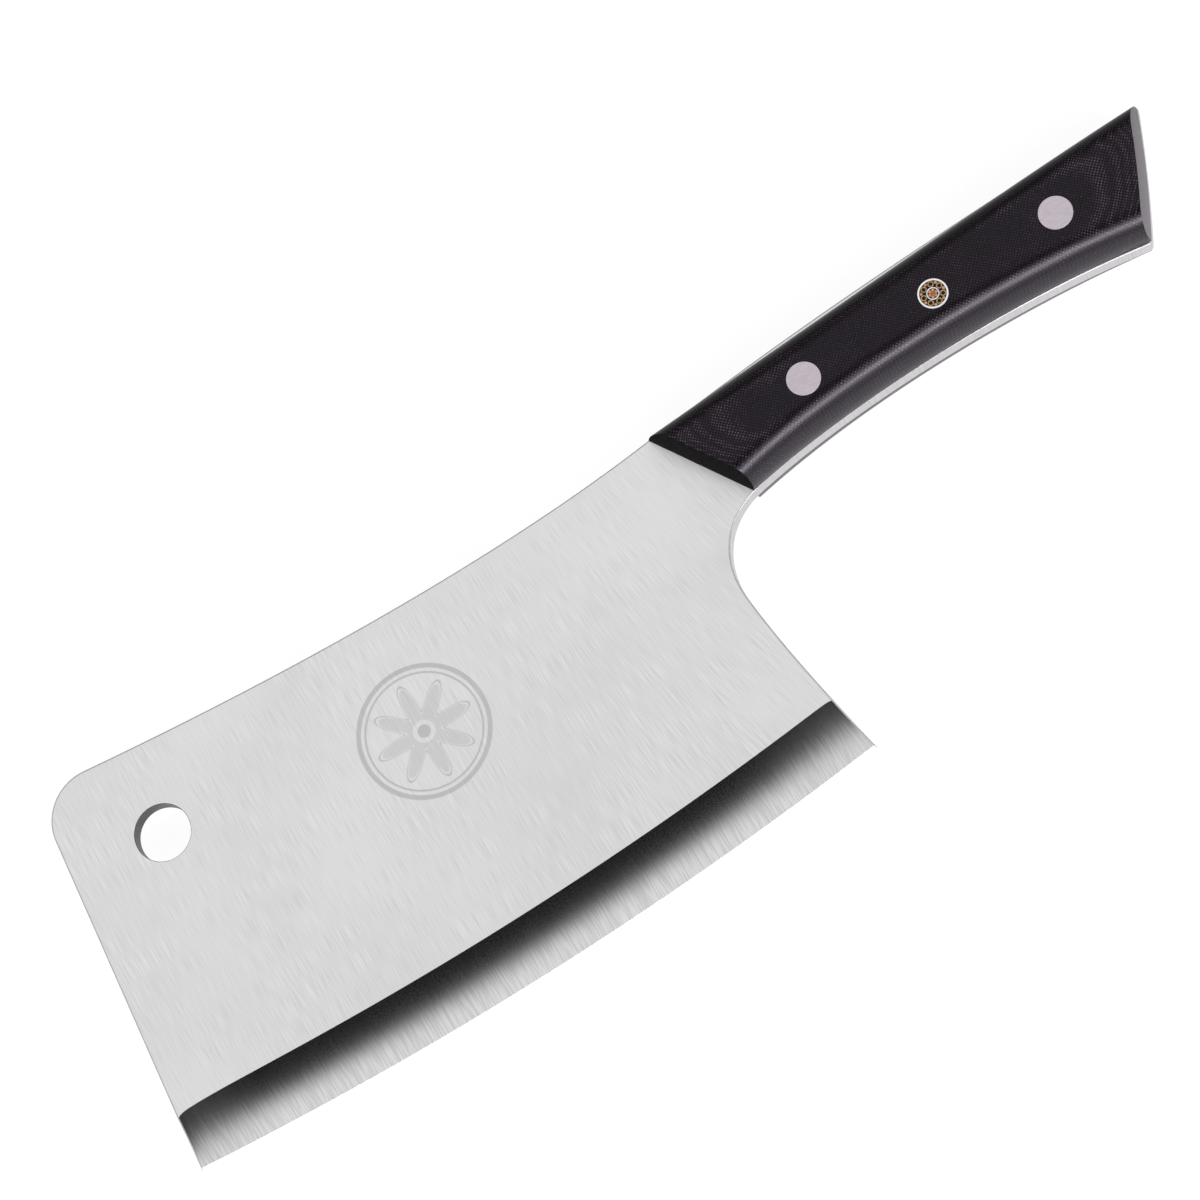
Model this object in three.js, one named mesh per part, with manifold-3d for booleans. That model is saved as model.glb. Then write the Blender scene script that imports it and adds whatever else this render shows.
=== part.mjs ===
// Meat cleaver: full-tang blade, two riveted laminate scales and a mosaic pin.
// Millimetres. X runs from the blade's front end to the butt, Y from the cutting edge to the
// spine, Z through the thickness. The finished group stands on z = 0 with its footprint centred.

import * as THREE from 'three';
import { mergeVertices } from 'three/addons/utils/BufferGeometryUtils.js';
import Module from 'manifold-3d';

const manifold = await Module();
manifold.setup();

const at = (x, y) => new THREE.Vector2(x, y);
const rad = THREE.MathUtils.degToRad;

// ---------------------------------------------------------------- driving dimensions

// Blade
const STOCK = 4.5;               // thickness of the steel
const EDGE_LENGTH = 178.8;       // straight distance between the two ends of the cutting edge
const EDGE_BELLY = 4.5;          // how far the edge bows out between its ends
const BEVEL_WIDTH = 15.5;        // cutting edge to the shoulder of the hollow grind
const WHEEL_RADIUS = 75;         // radius of the hollow grind
const MICRO_WIDTH = 1.4;         // the sharpened strip along the edge
const MICRO_ANGLE = rad(25);
const EDGE_LAND = 0.1;           // thickness left at the very edge
const FRONT_CORNER = at(7.97, 97.8);
const FRONT_CORNER_RADIUS = 12;
const HANGING_HOLE = at(29.8, 73.1);
const HANGING_HOLE_RADIUS = 6.75;

// Tang corners
const BUTT_TOP = at(306.8, 95.5);
const BUTT_BOTTOM = at(291.7, 65.3);
const BUTT_TOP_RADIUS = 1;
const BUTT_BOTTOM_RADIUS = 1.5;
const BUTT_BULGE = 0.32;

// Handle scales
const SCALE_HEIGHT = 8.2;        // tang face to the shoulder of the top face
const SCALE_CROWN = 0.3;         // further rise to the middle of the top face
const SHOULDER_INSET = 6.7;      // width of the rounded shoulder on each side
const END_SLOPE = 0.23;          // how far each end face leans in for each mm of height
const END_BULGE = 0.75;          // how far the butt end of a scale bows out
const END_BULGE_POWER = 6;       // how quickly that bow dies away from the butt

// Pins, at their places along the handle
const FRONT_RIVET = at(208.95, 79.75);
const MOSAIC_PIN = at(243.75, 80.35);
const REAR_RIVET = at(276.65, 80.95);
const RIVET_HEAD_RADIUS = 4;
const RIVET_HEAD_LENGTH = 5;
const RIVET_SLEEVE_RADIUS = 2.5;
const RIVET_POST_RADIUS = 1.6;
const FIT_GAP = 0.05;            // radial clearance of each pin, tube and rod in its hole

// Mosaic pin: a tube in a tube, with small tubes and rods cast in resin
const MOSAIC_RADIUS = 3.55;
const MOSAIC_WALL = 0.43;
const CORE_TUBE_RADIUS = 1.5;
const CORE_TUBE_WALL = 0.24;
const PETALS = 7;                // small brass tubes round the core tube
const PETAL_CIRCLE = 2.31;
const PETAL_RADIUS = 0.72;
const PETAL_BORE = 0.46;
const PETAL_PHASE = rad(21);
const SPACER_CIRCLE = 2.71;      // small copper rods between the brass tubes
const SPACER_RADIUS = 0.34;
const CORE_RODS = 6;             // copper rods round the centre tube
const CORE_ROD_CIRCLE = 0.82;
const CORE_ROD_RADIUS = 0.36;
const CENTRE_RADIUS = 0.38;
const CENTRE_BORE = 0.2;
const RESIN_GAP = 0.02;

// Facets round each size of circle
const HOLE_SIDES = 48;
const PIN_SIDES = 32;
const TUBE_SIDES = 14;
const ROD_SIDES = 10;

// Spans of the lofted and swept shapes
const OUTLINE_SPANS = 16;        // in each curve of the blade's outline
const GRIND_SPANS = 24;          // along the grinding tool
const SCALE_SPANS = 26;          // along a handle scale
const SHOULDER_SPANS = 6;        // up each rounded shoulder of a scale

const HALF_STOCK = STOCK / 2;
const PIN_TOP = HALF_STOCK + SCALE_HEIGHT + SCALE_CROWN;
const MOSAIC_BORE = MOSAIC_RADIUS - MOSAIC_WALL;
const CORE_TUBE_BORE = CORE_TUBE_RADIUS - CORE_TUBE_WALL;

const SPARE = 2;                 // how far a cutting tool runs past what it cuts

// ---------------------------------------------------------------- finishes

const finish = (color, roughness, metalness) => () =>
  new THREE.MeshStandardMaterial({ color, roughness, metalness });

const bladeSteel = finish('#d2d3d4', 0.35, 1);
const rivetSteel = finish('#c8c4c6', 0.4, 1);
const laminate = finish('#1d1a1e', 0.5, 0);
const brass = finish('#c9a15a', 0.35, 1);
const copper = finish('#b8734e', 0.35, 1);
const resin = finish('#121113', 0.4, 0);

// ---------------------------------------------------------------- solids

function toSolid(geometry) {
  const bare = geometry.clone();
  bare.deleteAttribute('normal');
  bare.deleteAttribute('uv');
  const merged = mergeVertices(bare, 1e-4);
  return new manifold.Manifold(new manifold.Mesh({
    numProp: 3,
    vertProperties: new Float32Array(merged.attributes.position.array),
    triVerts: new Uint32Array(merged.index.array),
  }));
}

function toGeometry(solid) {
  const mesh = solid.getMesh();
  const geometry = new THREE.BufferGeometry();
  geometry.setAttribute('position', new THREE.BufferAttribute(mesh.vertProperties, 3));
  geometry.setIndex(new THREE.BufferAttribute(mesh.triVerts, 1));
  geometry.computeVertexNormals();
  return geometry;
}

// Cuts each tool out of a body.
function carve(body, tools) {
  const solid = tools.reduce((left, tool) => left.subtract(toSolid(tool)), toSolid(body));
  return toGeometry(solid);
}

// A closed skin over a row of matching rings, each an array of Vector3. The profile is the
// same ring in its own plane, anticlockwise, used to fill the two ends.
function loft(rings, profile) {
  const count = profile.length;
  const positions = rings.flat().flatMap((p) => [p.x, p.y, p.z]);
  const faces = [];
  for (let ring = 0; ring + 1 < rings.length; ring += 1) {
    for (let i = 0; i < count; i += 1) {
      const a = ring * count + i;
      const b = ring * count + ((i + 1) % count);
      faces.push(a, b, a + count, b, b + count, a + count);
    }
  }
  const last = (rings.length - 1) * count;
  for (const [a, b, c] of THREE.ShapeUtils.triangulateShape(profile, [])) {
    faces.push(a, c, b, last + a, last + b, last + c);
  }
  const geometry = new THREE.BufferGeometry();
  geometry.setAttribute('position', new THREE.Float32BufferAttribute(positions, 3));
  geometry.setIndex(faces);
  return geometry;
}

// A shape extruded from one height to another.
function slab(shape, bottom, top, curveSegments = 12) {
  const options = { depth: top - bottom, bevelEnabled: false, curveSegments };
  return new THREE.ExtrudeGeometry(shape, options).translate(0, 0, bottom);
}

// Corners of a regular polygon inscribed in a circle.
function circlePoints(centre, radius, sides) {
  const points = [];
  for (let i = 0; i < sides; i += 1) {
    const angle = (2 * Math.PI * i) / sides;
    points.push(at(centre.x + radius * Math.cos(angle), centre.y + radius * Math.sin(angle)));
  }
  return points;
}

const disc = (centre, radius, sides) => new THREE.Shape(circlePoints(centre, radius, sides));
const hole = (centre, radius, sides) => new THREE.Path(circlePoints(centre, radius, sides));

function rod(centre, radius, bottom, top, sides) {
  return slab(disc(centre, radius, sides), bottom, top);
}

function tube(centre, radius, bore, bottom, top, sides) {
  const ring = disc(centre, radius, sides);
  ring.holes.push(hole(centre, bore, sides));
  return slab(ring, bottom, top);
}

// Points spaced evenly round a circle.
function spacedRound(centre, radius, count, phase) {
  const step = (2 * Math.PI) / count;
  const place = (i) => at(radius * Math.cos(phase + i * step), radius * Math.sin(phase + i * step));
  return Array.from({ length: count }, (_, i) => place(i).add(centre));
}

// Ends a path's straight run with an arc at a corner, heading for the next point.
function roundCorner(path, corner, next, radius) {
  const back = path.currentPoint.clone().sub(corner).normalize();
  const ahead = next.clone().sub(corner).normalize();
  const half = Math.acos(back.dot(ahead)) / 2;
  const tangent = radius / Math.tan(half);
  const middle = back.clone().add(ahead).normalize();
  const centre = corner.clone().addScaledVector(middle, radius / Math.sin(half));
  const start = corner.clone().addScaledVector(back, tangent).sub(centre);
  const end = corner.clone().addScaledVector(ahead, tangent).sub(centre);
  path.absarc(centre.x, centre.y, radius, start.angle(), end.angle(), false);
}

// ---------------------------------------------------------------- blade

const EDGE_RADIUS = ((EDGE_LENGTH / 2) ** 2 + EDGE_BELLY ** 2) / (2 * EDGE_BELLY);
const EDGE_CENTRE = at(EDGE_LENGTH / 2, EDGE_RADIUS - EDGE_BELLY);
const EDGE_HALF_ANGLE = Math.asin(EDGE_LENGTH / 2 / EDGE_RADIUS);

function bladeOutline() {
  const down = -Math.PI / 2;
  const choilStart = at(171.9, 46);
  const spineJoint = at(171.6, 90.35);
  const outline = new THREE.Shape();
  outline.absarc(EDGE_CENTRE.x, EDGE_CENTRE.y, EDGE_RADIUS,
    down - EDGE_HALF_ANGLE, down + EDGE_HALF_ANGLE, false);
  // heel, choil and the underside of the tang
  outline.quadraticCurveTo(173, 29, choilStart.x, choilStart.y);
  outline.bezierCurveTo(171.3, 55.5, 176.2, 64, 187, 66.4);
  outline.bezierCurveTo(215, 71.7, 258, 71.4, 289, 65.75);
  // butt
  roundCorner(outline, BUTT_BOTTOM, BUTT_TOP, BUTT_BOTTOM_RADIUS);
  const along = BUTT_TOP.clone().sub(BUTT_BOTTOM);
  const outward = at(along.y, -along.x).normalize();
  const bulge = BUTT_BOTTOM.clone().lerp(BUTT_TOP, 0.5).addScaledVector(outward, 2 * BUTT_BULGE);
  const buttEnd = BUTT_TOP.clone().addScaledVector(along.normalize(), -2 * BUTT_TOP_RADIUS);
  outline.quadraticCurveTo(bulge.x, bulge.y, buttEnd.x, buttEnd.y);
  roundCorner(outline, BUTT_TOP, at(262, 95), BUTT_TOP_RADIUS);
  // spine of the tang, then of the blade
  outline.bezierCurveTo(262, 94.9, 222, 95.4, spineJoint.x, spineJoint.y);
  outline.bezierCurveTo(128, 85.9, 72, 89.6, 22, 96.1);
  roundCorner(outline, FRONT_CORNER, at(0, 0), FRONT_CORNER_RADIUS);
  return outline;
}

// Half the blade's thickness at a distance in from the cutting edge.
function bevelHeight(width) {
  const edge = EDGE_LAND / 2;
  const microTop = edge + MICRO_WIDTH * Math.tan(MICRO_ANGLE);
  if (width <= MICRO_WIDTH) {
    return edge + Math.max(width, 0) * Math.tan(MICRO_ANGLE);
  }
  const span = BEVEL_WIDTH - MICRO_WIDTH;
  const share = (width - MICRO_WIDTH) / span;
  const hollow = (span ** 2 * share * (1 - share)) / (2 * WHEEL_RADIUS);
  return THREE.MathUtils.lerp(microTop, HALF_STOCK, share) - hollow;
}

// The metal that the grinding wheel takes off one side, swept along the edge.
function grindTool(side) {
  const reach = EDGE_HALF_ANGLE * 1.1;
  const widths = [-SPARE, 0, MICRO_WIDTH];
  for (const share of [0.22, 0.44, 0.66, 0.88, 1.1]) { // the last lies above the blade's face
    widths.push(THREE.MathUtils.lerp(MICRO_WIDTH, BEVEL_WIDTH, share));
  }
  const profile = widths.map((width) => at(width, bevelHeight(width)));
  profile.push(at(BEVEL_WIDTH + SPARE, STOCK), at(-SPARE, STOCK));
  const rings = [];
  for (let i = 0; i <= GRIND_SPANS; i += 1) {
    const angle = THREE.MathUtils.lerp(-reach, reach, i / GRIND_SPANS);
    rings.push(profile.map((p) => new THREE.Vector3(
      EDGE_CENTRE.x + (EDGE_RADIUS - p.x) * Math.sin(angle),
      EDGE_CENTRE.y - (EDGE_RADIUS - p.x) * Math.cos(angle),
      side * p.y,
    )));
  }
  if (side < 0) {
    rings.reverse();
  }
  return loft(rings, profile);
}

function blade() {
  const outline = bladeOutline();
  outline.holes.push(hole(HANGING_HOLE, HANGING_HOLE_RADIUS, HOLE_SIDES));
  outline.holes.push(hole(MOSAIC_PIN, MOSAIC_RADIUS + FIT_GAP, PIN_SIDES));
  for (const place of [FRONT_RIVET, REAR_RIVET]) {
    outline.holes.push(hole(place, RIVET_SLEEVE_RADIUS + FIT_GAP, PIN_SIDES));
  }
  return carve(slab(outline, -HALF_STOCK, HALF_STOCK, OUTLINE_SPANS), [grindTool(1), grindTool(-1)]);
}

// ---------------------------------------------------------------- handle scales

const SCALE_LOWER = new THREE.CubicBezierCurve(
  at(186, 66.35), at(215, 71.85), at(258, 71.55), at(291.75, 66));
const SCALE_UPPER = new THREE.CubicBezierCurve(
  at(171.7, 90.2), at(216, 92.1), at(262, 94.6), at(306, 95));

// Height of the scale's outer face, a share of the way from its lower to its upper border.
function scaleHeight(share, width) {
  const inset = Math.min(share, 1 - share) * width;
  const shoulder = Math.min(inset / SHOULDER_INSET, 1);
  const round = Math.sqrt(1 - (1 - shoulder) ** 2);
  const crown = 1 - (2 * share - 1) ** 2;
  return SCALE_HEIGHT * round + SCALE_CROWN * crown;
}

// Stations across the scale from its upper border to its lower one: close together on the
// shoulders, two spans on the top face.
function scaleShares(width) {
  const edge = [];
  for (let i = 0; i <= SHOULDER_SPANS; i += 1) {
    const turn = (Math.PI / 2) * (i / SHOULDER_SPANS);
    edge.push((SHOULDER_INSET * (1 - Math.cos(turn))) / width);
  }
  return [...edge.map((share) => 1 - share), 0.5, ...edge.reverse()];
}

// One scale, seated on the tang face of the given side (1 or -1).
function scale(side) {
  const rings = [];
  let profile = [];
  for (let i = 0; i <= SCALE_SPANS; i += 1) {
    const along = i / SCALE_SPANS;
    const lower = SCALE_LOWER.getPoint(along);
    const upper = SCALE_UPPER.getPoint(along);
    const width = lower.distanceTo(upper);
    const lean = END_SLOPE * (1 - 2 * along);
    const section = scaleShares(width).map((share) => at(share, scaleHeight(share, width)));
    profile = section.map((p) => at(p.x * width, p.y));
    const bow = END_BULGE * along ** END_BULGE_POWER;
    rings.push(section.map((p) => {
      const foot = lower.clone().lerp(upper, p.x);
      const x = foot.x + lean * p.y + bow * 4 * p.x * (1 - p.x);
      return new THREE.Vector3(x, foot.y, side * (HALF_STOCK + p.y));
    }));
  }
  if (side < 0) {
    rings.reverse();
  }
  const inner = side * (HALF_STOCK - SPARE);
  const outer = side * (PIN_TOP + SPARE);
  const counterbore = side * (PIN_TOP - RIVET_HEAD_LENGTH - FIT_GAP);
  const drill = (place, radius, from, to) =>
    rod(place, radius, Math.min(from, to), Math.max(from, to), PIN_SIDES);
  const tools = [drill(MOSAIC_PIN, MOSAIC_RADIUS + FIT_GAP, inner, outer)];
  for (const place of [FRONT_RIVET, REAR_RIVET]) {
    tools.push(drill(place, RIVET_SLEEVE_RADIUS + FIT_GAP, inner, outer));
    tools.push(drill(place, RIVET_HEAD_RADIUS + FIT_GAP, counterbore, outer));
  }
  return carve(loft(rings, profile), tools);
}

// ---------------------------------------------------------------- rivets

// The height at which the outer face of a scale lies over a pin: that of the cross-section
// of the scale that passes nearest to the pin's centre.
function faceHeight(place) {
  const sections = 200;
  let nearest = Infinity;
  let height = 0;
  for (let i = 0; i <= sections; i += 1) {
    const along = i / sections;
    const lower = SCALE_LOWER.getPoint(along);
    const upper = SCALE_UPPER.getPoint(along);
    const line = upper.clone().sub(lower);
    const share = place.clone().sub(lower).dot(line) / line.lengthSq();
    const distance = lower.clone().lerp(upper, share).distanceTo(place);
    if (distance < nearest) {
      nearest = distance;
      height = scaleHeight(share, line.length());
    }
  }
  return HALF_STOCK + height;
}

// The hollow half: a head, and a tube that lines the holes in both scales and the tang.
function rivetSleeve(place) {
  const top = faceHeight(place);
  const neck = PIN_TOP - RIVET_HEAD_LENGTH;
  const bore = RIVET_POST_RADIUS + FIT_GAP;
  const boreEnd = neck + 1;
  return new THREE.LatheGeometry([
    at(0, boreEnd),
    at(bore, boreEnd),
    at(bore, -neck + FIT_GAP),
    at(RIVET_SLEEVE_RADIUS, -neck + FIT_GAP),
    at(RIVET_SLEEVE_RADIUS, neck),
    at(RIVET_HEAD_RADIUS, neck),
    at(RIVET_HEAD_RADIUS, top),
    at(0, top),
  ], PIN_SIDES);
}

// The solid half: a head, and a post that is pressed up the sleeve's bore.
function rivetPost(place) {
  const top = faceHeight(place);
  const neck = PIN_TOP - RIVET_HEAD_LENGTH;
  return new THREE.LatheGeometry([
    at(0, -top),
    at(RIVET_HEAD_RADIUS, -top),
    at(RIVET_HEAD_RADIUS, -neck),
    at(RIVET_POST_RADIUS, -neck),
    at(RIVET_POST_RADIUS, neck),
    at(0, neck),
  ], PIN_SIDES);
}

// Lathe solids turn about Y; this stands one on Z at its place in the handle.
function stand(geometry, place) {
  return geometry.rotateX(Math.PI / 2).translate(place.x, place.y, 0);
}

// ---------------------------------------------------------------- assembly

const parts = new THREE.Group();

function add(name, geometry, material) {
  const mesh = new THREE.Mesh(geometry, material());
  mesh.name = name;
  parts.add(mesh);
}

function addRivet(name, place) {
  add(`${name}_rivet_sleeve`, stand(rivetSleeve(place), place), rivetSteel);
  add(`${name}_rivet_post`, stand(rivetPost(place), place), rivetSteel);
}

function addMosaicPin() {
  const top = faceHeight(MOSAIC_PIN);
  const petals = spacedRound(MOSAIC_PIN, PETAL_CIRCLE, PETALS, PETAL_PHASE);
  const spacers = spacedRound(MOSAIC_PIN, SPACER_CIRCLE, PETALS, PETAL_PHASE + Math.PI / PETALS);
  const coreRods = spacedRound(MOSAIC_PIN, CORE_ROD_CIRCLE, CORE_RODS, 0);
  const fullTube = (centre, radius, bore, sides) => tube(centre, radius, bore, -top, top, sides);
  const fullRod = (centre, radius, sides) => rod(centre, radius, -top, top, sides);

  add('mosaic_outer_tube', fullTube(MOSAIC_PIN, MOSAIC_RADIUS, MOSAIC_BORE, PIN_SIDES), rivetSteel);
  add('mosaic_core_tube', fullTube(MOSAIC_PIN, CORE_TUBE_RADIUS, CORE_TUBE_BORE, PIN_SIDES),
    rivetSteel);
  petals.forEach((centre, i) => {
    const filling = PETAL_BORE - RESIN_GAP;
    add(`mosaic_brass_tube_${i + 1}`, fullTube(centre, PETAL_RADIUS, PETAL_BORE, TUBE_SIDES), brass);
    add(`mosaic_tube_filling_${i + 1}`, fullRod(centre, filling, TUBE_SIDES), resin);
  });
  spacers.forEach((centre, i) => {
    add(`mosaic_copper_rod_${i + 1}`, fullRod(centre, SPACER_RADIUS, ROD_SIDES), copper);
  });
  coreRods.forEach((centre, i) => {
    add(`mosaic_core_rod_${i + 1}`, fullRod(centre, CORE_ROD_RADIUS, ROD_SIDES), copper);
  });
  add('mosaic_centre_tube', fullTube(MOSAIC_PIN, CENTRE_RADIUS, CENTRE_BORE, TUBE_SIDES), brass);
  add('mosaic_centre_filling', fullRod(MOSAIC_PIN, CENTRE_BORE - RESIN_GAP, TUBE_SIDES), resin);

  // the resin round the small tubes, and the resin inside the core tube
  const outerResin = disc(MOSAIC_PIN, MOSAIC_BORE - RESIN_GAP, PIN_SIDES);
  outerResin.holes.push(hole(MOSAIC_PIN, CORE_TUBE_RADIUS + RESIN_GAP, PIN_SIDES));
  petals.forEach((p) => outerResin.holes.push(hole(p, PETAL_RADIUS + RESIN_GAP, TUBE_SIDES)));
  spacers.forEach((p) => outerResin.holes.push(hole(p, SPACER_RADIUS + RESIN_GAP, ROD_SIDES)));
  add('mosaic_outer_resin', slab(outerResin, -top, top), resin);
  const coreResin = disc(MOSAIC_PIN, CORE_TUBE_BORE - RESIN_GAP, PIN_SIDES);
  coreResin.holes.push(hole(MOSAIC_PIN, CENTRE_RADIUS + RESIN_GAP, TUBE_SIDES));
  coreRods.forEach((p) => coreResin.holes.push(hole(p, CORE_ROD_RADIUS + RESIN_GAP, ROD_SIDES)));
  add('mosaic_core_resin', slab(coreResin, -top, top), resin);
}

add('blade', blade(), bladeSteel);
add('front_scale', scale(1), laminate);
add('back_scale', scale(-1), laminate);
addRivet('front', FRONT_RIVET);
addRivet('rear', REAR_RIVET);
addMosaicPin();

const box = new THREE.Box3().setFromObject(parts);
const middle = box.getCenter(new THREE.Vector3());
parts.position.set(-middle.x, -middle.y, -box.min.z);

const cleaver = new THREE.Group();
cleaver.add(parts);

export default cleaver;
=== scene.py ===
"""Meat cleaver: the finished pieces and materials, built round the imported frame.

Shapes are worked out in the cleaver's own coordinates, in millimetres: x runs from the front end
of the cutting edge to the butt, y from the straight line between the edge's two ends to the
spine, and z out of the blade's middle plane. place() turns them into the row frame, in metres.
"""

import math

import bmesh
import bpy
import numpy as np
from mathutils import Matrix, Vector
from mathutils.geometry import delaunay_2d_cdt


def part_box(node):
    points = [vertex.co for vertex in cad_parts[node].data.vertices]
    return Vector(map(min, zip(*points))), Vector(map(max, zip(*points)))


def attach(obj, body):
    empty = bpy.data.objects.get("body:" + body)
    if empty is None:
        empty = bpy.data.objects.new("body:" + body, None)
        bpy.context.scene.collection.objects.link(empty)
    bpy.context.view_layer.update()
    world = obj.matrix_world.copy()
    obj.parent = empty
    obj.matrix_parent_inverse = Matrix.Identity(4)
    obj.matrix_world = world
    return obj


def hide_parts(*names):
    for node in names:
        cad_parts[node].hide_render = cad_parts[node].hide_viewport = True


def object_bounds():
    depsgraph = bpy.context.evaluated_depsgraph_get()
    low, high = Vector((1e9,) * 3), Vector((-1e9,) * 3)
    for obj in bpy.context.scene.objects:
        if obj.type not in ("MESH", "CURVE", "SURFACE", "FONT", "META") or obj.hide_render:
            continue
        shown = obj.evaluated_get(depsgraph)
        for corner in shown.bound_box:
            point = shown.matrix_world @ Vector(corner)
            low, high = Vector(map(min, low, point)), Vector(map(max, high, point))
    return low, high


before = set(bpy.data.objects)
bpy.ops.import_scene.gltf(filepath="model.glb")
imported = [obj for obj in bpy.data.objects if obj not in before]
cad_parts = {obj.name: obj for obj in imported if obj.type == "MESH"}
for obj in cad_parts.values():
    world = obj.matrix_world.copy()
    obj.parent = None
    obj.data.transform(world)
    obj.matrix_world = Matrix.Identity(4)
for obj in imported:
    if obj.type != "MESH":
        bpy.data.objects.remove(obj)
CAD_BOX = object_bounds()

MM = 0.001


def flat_point(x, y):
    return Vector((x, y))


# ---- sizes, in mm

# Blade
EDGE_LENGTH = 178.8  # straight distance between the ends of the cutting edge
EDGE_BELLY = 4.5  # how far the edge bows out between them
EDGE_LAND = 0.1  # thickness left at the very edge
MICRO_WIDTH = 1.4  # the sharpened strip along the edge
MICRO_ANGLE = math.radians(25)
BEVEL_WIDTH = 15.55  # cutting edge to the shoulder of the hollow grind
WHEEL_RADIUS = 75.0  # radius of the hollow grind
EASE = 0.42  # radius that rounds every outer edge of the blank
HOLE_EASE = 0.12  # and the rims of the hanging hole
FRONT_CORNER = flat_point(7.97, 97.8)
FRONT_CORNER_RADIUS = 12.0
HANGING_HOLE = flat_point(29.8, 73.1)
HANGING_HOLE_RADIUS = 6.75
HEEL_END = flat_point(EDGE_LENGTH, 0)
FRONT_END = flat_point(0, 0)
CHOIL_START = flat_point(171.9, 46)
TANG_START = flat_point(187, 66.4)
SPINE_JOINT = flat_point(171.6, 90.35)
BUTT_TOP = flat_point(306.8, 95.5)
BUTT_TOP_RADIUS = 1.0
BUTT_BOTTOM = flat_point(291.7, 65.3)
BUTT_BOTTOM_RADIUS = 1.5
BUTT_BULGE = 0.32

# Bezier curves of the blank's outline, in the order in which it runs
HEEL = [HEEL_END, flat_point(173, 29), CHOIL_START]
CHOIL = [CHOIL_START, flat_point(171.3, 55.5), flat_point(176.2, 64), TANG_START]
TANG_LOWER = [TANG_START, flat_point(215, 71.7), flat_point(258, 71.4), flat_point(289, 65.75)]
TANG_UPPER = [flat_point(262, 94.9), flat_point(222, 95.4), SPINE_JOINT]
SPINE = [SPINE_JOINT, flat_point(128, 85.9), flat_point(72, 89.6), flat_point(22, 96.1)]

# Handle scales
SCALE_HEIGHT = 8.2  # tang face to the shoulder of the top face
SCALE_CROWN = 0.3  # further rise to the middle of the top face
SHOULDER_INSET = 6.7  # width of the rounded shoulder on each side
END_SLOPE = 0.23  # how far each end face leans in for each mm of height
END_BULGE = 0.75  # how far the butt end of a scale bows out
END_BULGE_POWER = 6  # how quickly that bow dies away from the butt
END_FALL = 0.06  # share by which the top face falls at its very ends
END_FALL_LENGTH = 20.0
END_CHAMFER = 0.22
SCALE_LOWER = [flat_point(186, 66.35), flat_point(215, 71.85), flat_point(258, 71.55),
               flat_point(291.75, 66)]
SCALE_UPPER = [flat_point(171.7, 90.2), flat_point(216, 92.1), flat_point(262, 94.6),
               flat_point(306, 95)]

# Rivets and mosaic pin
HEAD_RADIUS = 4.0
HEAD_LENGTH = 5.0
SLEEVE_RADIUS = 2.5
POST_RADIUS = 1.6
FIT_GAP = 0.05  # clearance round each pin
PROUD = 0.012  # how far the pins' ends stand over the scales
BREAK = 0.025  # the broken corner round each end
MOSAIC_RADIUS = 3.55
MOSAIC_BORE = 3.12
CORE_TUBE_RADIUS = 1.5
CORE_TUBE_BORE = 1.26
PETALS = 7  # brass tubes round the core, with a copper spacer between each two
PETAL_RADIUS = 0.72
PETAL_BORE = 0.46
SPACER_RADIUS = 0.34
CORE_RODS = 6
CORE_ROD_RADIUS = 0.36
CENTRE_RADIUS = 0.38
CENTRE_BORE = 0.2
RESIN_GAP = 0.02
RESIN_DEPTH = 0.03  # how far the resin lies under the scales' faces

# Steps
EDGE_COLUMNS = 200
MICRO_ROWS = 2
HOLLOW_ROWS = 20
EASE_STEPS = 4
SCALE_SPANS = 140  # along a scale
SHOULDER_SPANS = 20  # up each of its shoulders
TOP_SPANS = 12  # across its top face
BLADE_LATTICE = 4.0  # spacing of the points that divide the blade's flats
RESIN_LATTICE = 0.5  # and the resin's ends

# Facets round each size of circle
LARGE_SIDES = 96
MIDDLE_SIDES = 64
PETAL_SIDES = 40
SMALL_SIDES = 32
ROD_SIDES = 28
TINY_SIDES = 24

# ---- the frame

BLADE_LOW, BLADE_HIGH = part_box("blade")
HALF_STOCK = (BLADE_HIGH.z - BLADE_LOW.z) / 2 / MM
MIDDLE_Z = (BLADE_HIGH.z + BLADE_LOW.z) / 2


def place(x, y, z=0.0):
    """A point in the row frame, in metres."""
    return Vector((BLADE_LOW.x + x * MM, BLADE_LOW.y + (y + EDGE_BELLY) * MM, MIDDLE_Z + z * MM))


def at_x(x):
    """The row frame's x, in mm, of an x of the cleaver's own."""
    return BLADE_LOW.x / MM + x


def at_y(y):
    """The row frame's y, in mm, of a y of the cleaver's own."""
    return place(0, y).y / MM


def centre_of(node):
    """Where the middle of a CAD node lies in the cleaver's own coordinates."""
    low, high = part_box(node)
    middle = (low + high) / 2
    return flat_point((middle.x - BLADE_LOW.x) / MM, (middle.y - BLADE_LOW.y) / MM - EDGE_BELLY)


# ---- curves


def bezier(controls, share):
    """The point a share of the way along a Bezier curve."""
    points = controls
    while len(points) > 1:
        points = [a.lerp(b, share) for a, b in zip(points, points[1:])]
    return points[0]


def bezier_run(controls, spans):
    return [bezier(controls, i / spans) for i in range(spans + 1)]


def ring(centre, radius, sides, phase=0.0):
    """Points round a circle, anticlockwise."""
    turns = [phase + 2 * math.pi * i / sides for i in range(sides)]
    return [centre + radius * flat_point(math.cos(a), math.sin(a)) for a in turns]


def fillet(before, corner, after, radius, spans):
    """The arc that rounds a corner between two straight runs."""
    back = (before - corner).normalized()
    ahead = (after - corner).normalized()
    half = back.angle(ahead) / 2
    centre = corner + (back + ahead).normalized() * (radius / math.sin(half))
    start = corner + back * (radius / math.tan(half)) - centre
    turn = math.pi - 2 * half
    arc = []
    for i in range(spans + 1):
        angle = turn * i / spans
        arc.append(centre + Matrix.Rotation(angle, 2) @ start)
    return arc


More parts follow.
